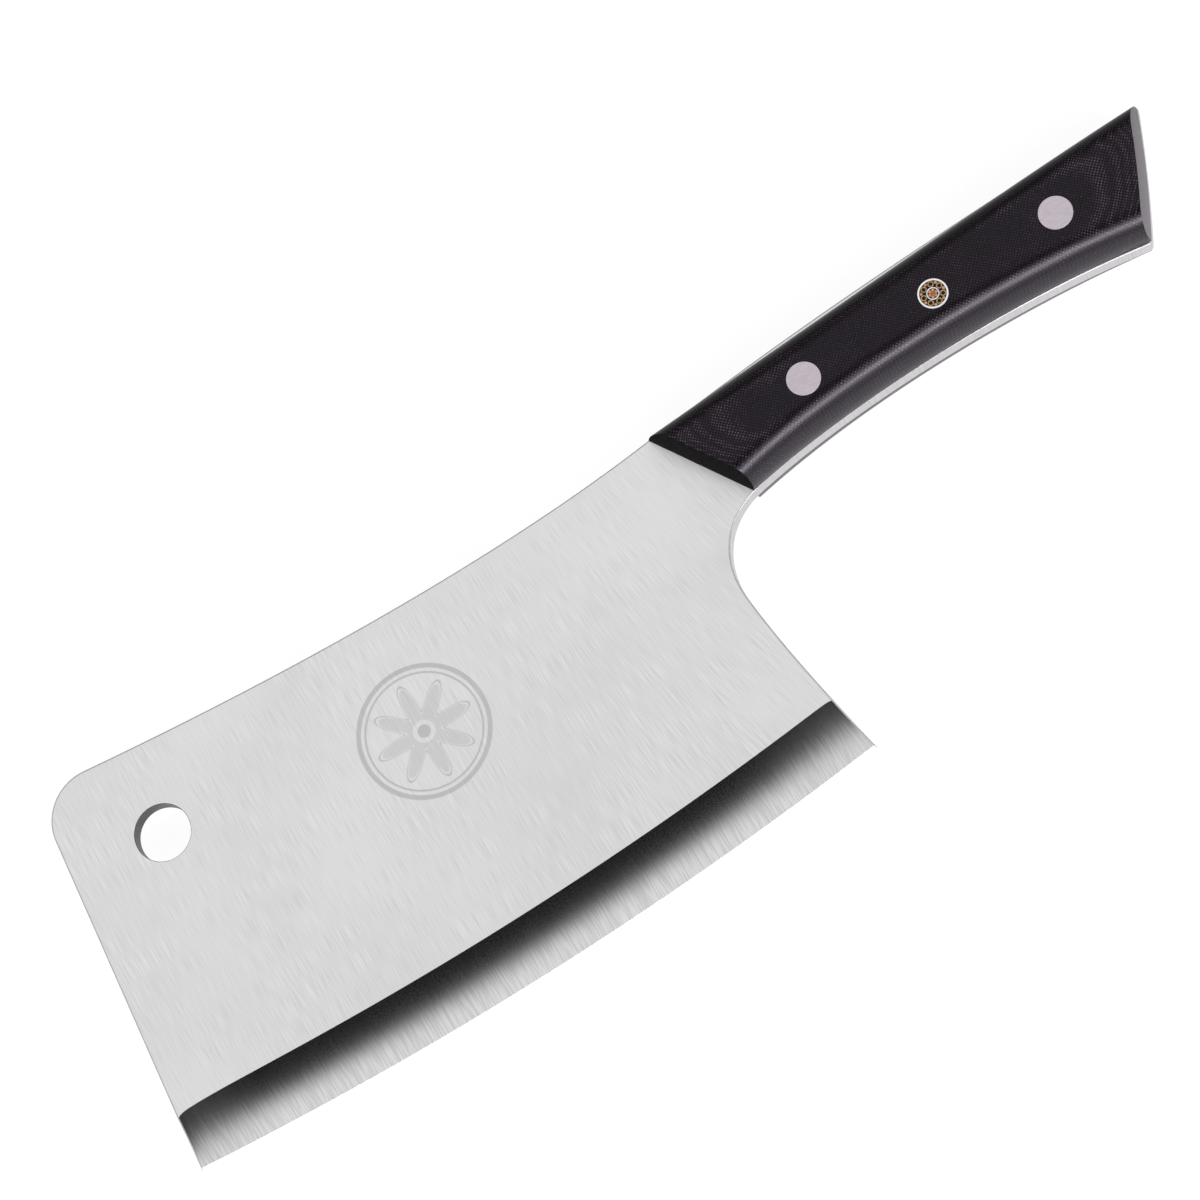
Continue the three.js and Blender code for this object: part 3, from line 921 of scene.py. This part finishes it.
def make_blade():
    run = outline_run()
    wall = eased_wall(run, inward(run, closed=False), *outline_heights(run))
    inset = flat_row(wall[0])
    columns, heights = bevel_points(inset)
    skin = Skin()
    skin.sheet(wall, WALL)
    add_bevels(skin, columns, heights)
    close_edge_corners(skin, wall)
    openings = add_openings(skin)
    shoulder = [column[-1] for column in columns]
    border = shoulder[:-1] + inset[BEVEL_POINTS - 1 : len(inset) - BEVEL_POINTS + 1]
    for triangle in triangulate(border, openings, BLADE_LATTICE):
        for side, kind in ((1, ETCHED), (-1, FLAT)):
            skin.face([solid(p, side * HALF_STOCK) for p in triangle], kind)
    blade = skin.build("finished_blade", BLADE_MATERIALS, smooth_angle=60)
    sharpen_borders(blade.data)
    weigh_normals(blade)
    return blade


def close_edge_corners(skin, wall):
    """Fills the tiny end faces between the sharpened edge and the walls at its two ends."""
    for end in (0, -1):
        skin.face([row[end] for row in wall], WALL)


def sharpen_borders(mesh):
    """Marks the lines between the flats, the hollow grind and the sharpened strip as sharp."""
    ground = {BEVEL, SHARPENED}
    kinds = {}
    for polygon in mesh.polygons:
        for key in polygon.edge_keys:
            kinds.setdefault(key, set()).add(polygon.material_index)
    for edge in mesh.edges:
        met = kinds[edge.key]
        if len(met) > 1 and met & ground:
            edge.use_edge_sharp = True


def weigh_normals(piece):
    """Keeps large flat faces looking flat next to their rounded borders."""
    modifier = piece.modifiers.new("weighted", "WEIGHTED_NORMAL")
    modifier.keep_sharp = True
    modifier.weight = 100
    apply_modifiers(piece)


# ---- handle scales


def scale_height(share, width):
    """Height of a scale's outer face, a share of the way from its lower to its upper border."""
    inset = min(share, 1 - share) * width
    shoulder = min(inset / SHOULDER_INSET, 1)
    rounding = math.sqrt(1 - (1 - shoulder) ** 2)
    return SCALE_HEIGHT * rounding + SCALE_CROWN * (1 - (2 * share - 1) ** 2)


def scale_shares(width):
    """Stations across a scale: close together on the shoulders, even on the top face."""
    turns = [math.pi / 2 * i / SHOULDER_SPANS for i in range(SHOULDER_SPANS)]
    edge = [SHOULDER_INSET * (1 - math.cos(turn)) / width for turn in turns]
    inner = SHOULDER_INSET / width
    top = [inner + (1 - 2 * inner) * i / TOP_SPANS for i in range(TOP_SPANS + 1)]
    return edge + top + [1 - share for share in reversed(edge)]


def scale_section(along):
    """One row of points over a scale's outer face, and the row under it on the tang."""
    lower, upper = bezier(SCALE_LOWER, along), bezier(SCALE_UPPER, along)
    width = (upper - lower).length
    lean = END_SLOPE * (1 - 2 * along)
    length = (bezier(SCALE_LOWER, 1) - bezier(SCALE_LOWER, 0)).length
    to_end = min(along, 1 - along) * length
    fall = END_FALL * max(0.0, 1 - to_end / END_FALL_LENGTH) ** 2
    face, base = [], []
    for share in scale_shares(width):
        foot = lower.lerp(upper, share)
        foot.x += END_BULGE * along**END_BULGE_POWER * 4 * share * (1 - share)
        height = scale_height(share, width) * (1 - fall)
        face.append((foot.x + lean * height, foot.y, HALF_STOCK + height))
        base.append((foot.x, foot.y, HALF_STOCK))
    return face, base


def mirrored(rows, side):
    return [[(x, y, side * z) for x, y, z in row] for row in rows]


def make_scale(name, side):
    sections = [scale_section(i / SCALE_SPANS) for i in range(SCALE_SPANS + 1)]
    faces = mirrored([face for face, _ in sections], side)
    bases = mirrored([base for _, base in sections], side)
    skin = Skin()
    skin.sheet(faces)
    skin.sheet(bases)
    # The front end face takes the laminate's darker copy, which is painted shade.
    skin.sheet([faces[0], bases[0]], 1)
    # The butt end face takes the laminate's lighter copy, which is painted light.
    skin.sheet([faces[-1], bases[-1]], 2)
    piece = skin.build(name, [LAMINATE, LAMINATE_FRONT_SHADED, LAMINATE_BUTT_LIT], smooth_angle=50)
    chamfer_ends(piece, faces)
    bore_scale(piece, side)
    return piece


def chamfer_ends(piece, faces):
    """Breaks the sharp rim round both end faces."""
    rims = [{tuple(round(c, 6) for c in place(*point)) for point in faces[end]} for end in (0, -1)]
    mesh = piece.data
    spots = [tuple(round(c, 6) for c in vertex.co) for vertex in mesh.vertices]
    weights = mesh.attributes.new("bevel_weight_edge", "FLOAT", "EDGE")
    for edge in mesh.edges:
        first, second = (spots[i] for i in edge.vertices)
        if any(first in rim and second in rim for rim in rims):
            weights.data[edge.index].value = 1.0
    modifier = piece.modifiers.new("chamfer", "BEVEL")
    modifier.limit_method = "WEIGHT"
    modifier.width = END_CHAMFER * MM
    modifier.segments = 3
    apply_modifiers(piece)


def bore_scale(piece, side):
    """Cuts the holes for the rivets and the mosaic pin."""
    far = HALF_STOCK + SCALE_HEIGHT + SCALE_CROWN + 1
    near = HALF_STOCK - 1
    ledge = HALF_STOCK + SCALE_HEIGHT + SCALE_CROWN - HEAD_LENGTH - FIT_GAP
    cutters = []
    for node, radius, ledge_radius in (
        ("mosaic_outer_tube", MOSAIC_RADIUS, MOSAIC_RADIUS),
        ("front_rivet_sleeve", HEAD_RADIUS, SLEEVE_RADIUS),
        ("rear_rivet_sleeve", HEAD_RADIUS, SLEEVE_RADIUS),
    ):
        centre = centre_of(node)
        profile = [(0, near), (ledge_radius + FIT_GAP, near), (ledge_radius + FIT_GAP, ledge),
                   (radius + FIT_GAP, ledge), (radius + FIT_GAP, far), (0, far)]
        skin = Skin()
        skin.sheet(lathe_rows(centre, [(r, side * z) for r, z in profile]), closed=True)
        cutters.append(skin.build("cutter_" + node, [LAMINATE]))
    for cutter in cutters:
        modifier = piece.modifiers.new("bore", "BOOLEAN")
        modifier.operation = "DIFFERENCE"
        modifier.solver = "MANIFOLD"
        modifier.object = cutter
    apply_modifiers(piece)
    for cutter in cutters:
        bpy.data.objects.remove(cutter)
    piece.data.set_sharp_from_angle(angle=math.radians(35))


def lathe_rows(centre, profile):
    """A row of points round the centre for each radius and height of a profile."""
    rings = [(ring(centre, radius, LARGE_SIDES), height) for radius, height in profile]
    return [[solid(point, height) for point in points] for points, height in rings]


# ---- pins


def face_height(point):
    """Height of the scale's outer face over a point: that of the nearest cross-section."""
    sections = 300
    nearest, height = math.inf, 0.0
    for i in range(sections + 1):
        lower, upper = (bezier(border, i / sections) for border in (SCALE_LOWER, SCALE_UPPER))
        line = upper - lower
        share = min(max((point - lower).dot(line) / line.length_squared, 0), 1)
        distance = (lower + line * share - point).length
        if distance < nearest:
            nearest, height = distance, scale_height(share, line.length)
    return HALF_STOCK + height


class Face:
    """The nearly flat patch of a scale's outer face round a pin."""

    def __init__(self, centre):
        reach = 2.0
        self.centre = centre
        self.height = face_height(centre)
        self.slope_x = (face_height(centre + flat_point(reach, 0)) - self.height) / reach
        self.slope_y = (face_height(centre + flat_point(0, reach)) - self.height) / reach

    def over(self, point):
        offset = point - self.centre
        return self.height + self.slope_x * offset.x + self.slope_y * offset.y


def pin_rows(face, centre, profile, sides):
    """Rows of points for a turned pin.

    A profile step is (radius, side, depth): side 1 or -1 puts it that depth under the front or
    the back face, and side 0 at height depth.
    """
    rows = []
    for radius, side, depth in profile:
        points = ring(centre, radius, sides)
        heights = [side * (face.over(p) - depth) if side else depth for p in points]
        rows.append([solid(p, height) for p, height in zip(points, heights)])
    return rows


def rod_profile(radius, depth=-PROUD):
    return [(0, -1, depth), (radius - BREAK, -1, depth), (radius, -1, depth + BREAK),
            (radius, 1, depth + BREAK), (radius - BREAK, 1, depth), (0, 1, depth)]


def tube_profile(radius, bore):
    low = BREAK - PROUD
    return [(radius, -1, low), (radius, 1, low), (radius - BREAK, 1, -PROUD),
            (bore + BREAK, 1, -PROUD), (bore, 1, low), (bore, -1, low),
            (bore + BREAK, -1, -PROUD), (radius - BREAK, -1, -PROUD), (radius, -1, low)]


def finish_piece(piece, node):
    """Puts a finished piece on the frame in place of its CAD node."""
    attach(piece, "root")
    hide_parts(node)


def add_turned(node, face, profile, sides, material):
    """A pin, tube or rod turned round its CAD node's middle."""
    skin = Skin()
    skin.sheet(pin_rows(face, centre_of(node), profile, sides), closed=True)
    finish_piece(skin.build("finished_" + node, [material]), node)


def add_resin(node, face, outline, holes):
    """Resin cast between tubes: a slab through the handle with a hole for each of them."""
    skin = Skin()

    def lifted(points, side):
        return [solid(p, side * (face.over(p) - RESIN_DEPTH)) for p in points]

    for side in (1, -1):
        for triangle in triangulate(outline, holes, RESIN_LATTICE):
            skin.face(lifted(triangle, side))
    for loop in [outline] + holes:
        skin.sheet([lifted(loop, side) for side in (1, -1)], closed=True)
    finish_piece(skin.build("finished_" + node, [RESIN]), node)


def add_rivet(name, post_name):
    """Both halves of a rivet: a hollow one with a head in front, and a solid one behind."""
    face = Face(centre_of(name))
    neck = HALF_STOCK + SCALE_HEIGHT + SCALE_CROWN - HEAD_LENGTH
    bore = POST_RADIUS + FIT_GAP
    low = BREAK - PROUD
    sleeve = [(0, 0, neck + 1), (bore, 0, neck + 1), (bore, 0, FIT_GAP - neck),
              (SLEEVE_RADIUS, 0, FIT_GAP - neck), (SLEEVE_RADIUS, 0, neck), (HEAD_RADIUS, 0, neck),
              (HEAD_RADIUS, 1, low), (HEAD_RADIUS - BREAK, 1, -PROUD), (0, 1, -PROUD)]
    post = [(0, -1, -PROUD), (HEAD_RADIUS - BREAK, -1, -PROUD), (HEAD_RADIUS, -1, low),
            (HEAD_RADIUS, 0, -neck), (POST_RADIUS, 0, -neck), (POST_RADIUS, 0, neck), (0, 0, neck)]
    add_turned(name, face, sleeve, LARGE_SIDES, RIVET_STEEL)
    add_turned(post_name, face, post, LARGE_SIDES, RIVET_STEEL)


def add_mosaic_pin():
    middle = centre_of("mosaic_outer_tube")
    face = Face(middle)

    def tube(node, radius, bore, sides, material):
        add_turned(node, face, tube_profile(radius, bore), sides, material)

    def rod(node, radius):
        add_turned(node, face, rod_profile(radius), ROD_SIDES, COPPER)

    def filling(node, bore, sides):
        add_turned(node, face, rod_profile(bore - RESIN_GAP, RESIN_DEPTH), sides, RESIN)

    def holes(nodes, radius, sides):
        return [ring(centre_of(node), radius + RESIN_GAP, sides) for node in nodes]

    petals = [f"mosaic_brass_tube_{i + 1}" for i in range(PETALS)]
    spacers = [f"mosaic_copper_rod_{i + 1}" for i in range(PETALS)]
    rods = [f"mosaic_core_rod_{i + 1}" for i in range(CORE_RODS)]
    tube("mosaic_outer_tube", MOSAIC_RADIUS, MOSAIC_BORE, LARGE_SIDES, TUBE_STEEL)
    tube("mosaic_core_tube", CORE_TUBE_RADIUS, CORE_TUBE_BORE, MIDDLE_SIDES, TUBE_STEEL)
    tube("mosaic_centre_tube", CENTRE_RADIUS, CENTRE_BORE, SMALL_SIDES, BRASS)
    filling("mosaic_centre_filling", CENTRE_BORE, TINY_SIDES)
    for i, (petal, spacer) in enumerate(zip(petals, spacers)):
        tube(petal, PETAL_RADIUS, PETAL_BORE, PETAL_SIDES, BRASS)
        filling(f"mosaic_tube_filling_{i + 1}", PETAL_BORE, SMALL_SIDES)
        rod(spacer, SPACER_RADIUS)
    for node in rods:
        rod(node, CORE_ROD_RADIUS)
    outer = holes(petals, PETAL_RADIUS, PETAL_SIDES) + holes(spacers, SPACER_RADIUS, ROD_SIDES)
    outer.append(ring(middle, CORE_TUBE_RADIUS + RESIN_GAP, MIDDLE_SIDES))
    outer_rim = ring(middle, MOSAIC_BORE - RESIN_GAP, LARGE_SIDES)
    add_resin("mosaic_outer_resin", face, outer_rim, outer)
    core = holes(rods, CORE_ROD_RADIUS, ROD_SIDES)
    core.append(ring(middle, CENTRE_RADIUS + RESIN_GAP, SMALL_SIDES))
    core_rim = ring(middle, CORE_TUBE_BORE - RESIN_GAP, MIDDLE_SIDES)
    add_resin("mosaic_core_resin", face, core_rim, core)


# ---- stage

FLOOR_RADIUS = 8.0  # in m, as all sizes of the stage
FLOOR_GAP = 0.05 * MM  # keeps the pins' ends, which stand a little proud, out of the floor
FLOOR_GLOW = 0.86
DOME_RADIUS = 7.9
DOME_LEVEL = 0.96


def make_floor():
    """A plain pale floor that glows a little, so that it comes out near white."""
    bpy.ops.mesh.primitive_circle_add(vertices=96, radius=FLOOR_RADIUS, fill_type="NGON")
    floor = bpy.context.object
    floor.name = "floor"
    floor.location.z = CAD_BOX[0].z - FLOOR_GAP
    finish = Finish("pale_floor")
    colour = finish.mix(finish.noise(finish.mm, 0.002), grey(0.24), grey(0.26))
    finish.done(colour, 0.9, Specular_IOR_Level=0.1, Emission_Color=grey(1.0),
                Emission_Strength=FLOOR_GLOW)
    floor.data.materials.append(finish.material)


def make_backdrop():
    """A pale dome behind the floor, which only the camera sees."""
    bpy.ops.mesh.primitive_uv_sphere_add(segments=64, ring_count=32, radius=DOME_RADIUS)
    dome = bpy.context.object
    dome.name = "backdrop"
    material = bpy.data.materials.new("pale_backdrop")
    material.use_nodes = True
    shades = Shades(material.node_tree)
    glow = shades.node("ShaderNodeEmission")
    shades.feed(glow.inputs["Color"], grey(DOME_LEVEL))
    shades.end("ShaderNodeOutputMaterial", glow.outputs[0])
    dome.data.materials.append(material)
    for ray in ("diffuse", "glossy", "transmission", "shadow"):
        setattr(dome, "visible_" + ray, False)


def degrees(*angles):
    return [math.radians(angle) for angle in angles]


TENT_TOP = 0.55  # brightness of the light tent overhead
TENT_FOOT = 0.36  # and at its foot
TENT_ENDS = 0.3  # further brightness past the handle's end and the blade's front
ENDS = degrees(45, 65)  # where that starts, as angles from straight up

# Bands along X, from the edge's side over the top to the spine's side. Each border is where it
# starts and stops to change, as angles from straight up.
EDGE_STRIP = 0.85  # further brightness of the strip on the edge's side
EDGE_STRIP_FAR = degrees(-46, -39)
EDGE_STRIP_NEAR = degrees(-33, -26)
GAP_START = degrees(-26, -20)  # a dark gap between the strips
GAP_END = degrees(0.5, 8.5)
STRIP = 0.6  # further brightness of the strip overhead
STRIP_END = degrees(28, 40)
CARD = 0.3  # brightness left in front of a dark card low on the spine's side
CARD_START = degrees(42, 58)


def make_tent():
    """A light tent with bright strips along X, a dark gap between them and a dark card."""
    world = bpy.data.worlds.new("light_tent")
    bpy.context.scene.world = world
    world.use_nodes = True
    shades = Shades(world.node_tree)
    x, y, z = shades.split(shades.node("ShaderNodeTexCoord").outputs["Generated"])
    tilt = shades.math("ARCTAN2", y, z)
    ends = shades.window(abs(shades.math("ARCTAN2", x, z)), *ENDS)
    middle = 1 - ends
    past_gap = shades.window(tilt, *GAP_END)
    gap = shades.window(tilt, *GAP_START) * (1 - past_gap) * middle
    strip = past_gap * shades.window(tilt, *STRIP_END, 1.0, 0.0)
    edge_strip = shades.window(tilt, *EDGE_STRIP_FAR)
    edge_strip *= shades.window(tilt, *EDGE_STRIP_NEAR, 1.0, 0.0)
    card = shades.window(tilt, *CARD_START) * middle
    tent = shades.window(z, 0.0, 0.7, TENT_FOOT, TENT_TOP)
    tent *= (1 - (1 - CARD) * card) * (1 - gap)
    tent += TENT_ENDS * ends + middle * (STRIP * strip + EDGE_STRIP * edge_strip)
    background = shades.node("ShaderNodeBackground")
    shades.feed(background.inputs["Color"], grey(1.0))
    shades.feed(background.inputs["Strength"], tent)
    shades.end("ShaderNodeOutputWorld", background.outputs[0])


SOFTBOX_TILT = math.radians(50)  # from straight up towards the edge's side
SOFTBOX_SIZE = (1.5, 0.18)  # along and across the cleaver
SOFTBOX_DISTANCE = 0.95
SOFTBOX_POWER = 9.0


def make_softbox():
    """A long narrow light on the edge's side, for the ridge of light along the handle."""
    light = bpy.data.lights.new("edge_softbox", "AREA")
    light.shape = "RECTANGLE"
    light.size, light.size_y = SOFTBOX_SIZE
    light.energy = SOFTBOX_POWER
    lamp = bpy.data.objects.new("edge_softbox", light)
    towards = Vector((0.0, -math.sin(SOFTBOX_TILT), math.cos(SOFTBOX_TILT)))
    lamp.location = (CAD_BOX[0] + CAD_BOX[1]) / 2 + towards * SOFTBOX_DISTANCE
    lamp.rotation_euler.x = SOFTBOX_TILT
    lamp.visible_camera = False
    bpy.context.scene.collection.objects.link(lamp)


CAMERA_AIM = (143.2, 64.0)  # the point of the blade's front face in the middle of the view
CAMERA_AZIMUTH = math.radians(8.43)
CAMERA_ELEVATION = math.radians(71.08)
CAMERA_ROLL = math.radians(40.34)
CAMERA_DISTANCE = 0.9401
CAMERA_LENS = 124.2


def make_camera():
    data = bpy.data.cameras.new("camera")
    data.sensor_width = 36.0
    data.lens = CAMERA_LENS
    data.clip_start = 0.01
    data.clip_end = 50.0
    camera = bpy.data.objects.new("camera", data)
    flat = math.cos(CAMERA_ELEVATION)
    back = Vector((math.sin(CAMERA_AZIMUTH) * flat, -math.cos(CAMERA_AZIMUTH) * flat,
                   math.sin(CAMERA_ELEVATION)))
    camera.location = place(*CAMERA_AIM, HALF_STOCK) + back * CAMERA_DISTANCE
    level = (-back).to_track_quat("-Z", "Y").to_matrix()
    camera.rotation_mode = "QUATERNION"
    camera.rotation_quaternion = (level @ Matrix.Rotation(-CAMERA_ROLL, 3, "Z")).to_quaternion()
    bpy.context.scene.collection.objects.link(camera)
    bpy.context.scene.camera = camera


# ---- assembly

make_camera()
finish_piece(make_blade(), "blade")
finish_piece(make_scale("finished_front_scale", 1), "front_scale")
finish_piece(make_scale("finished_back_scale", -1), "back_scale")
add_rivet("front_rivet_sleeve", "front_rivet_post")
add_rivet("rear_rivet_sleeve", "rear_rivet_post")
add_mosaic_pin()
make_floor()
make_backdrop()
make_tent()
make_softbox()
bpy.context.scene.view_settings.view_transform = "Standard"
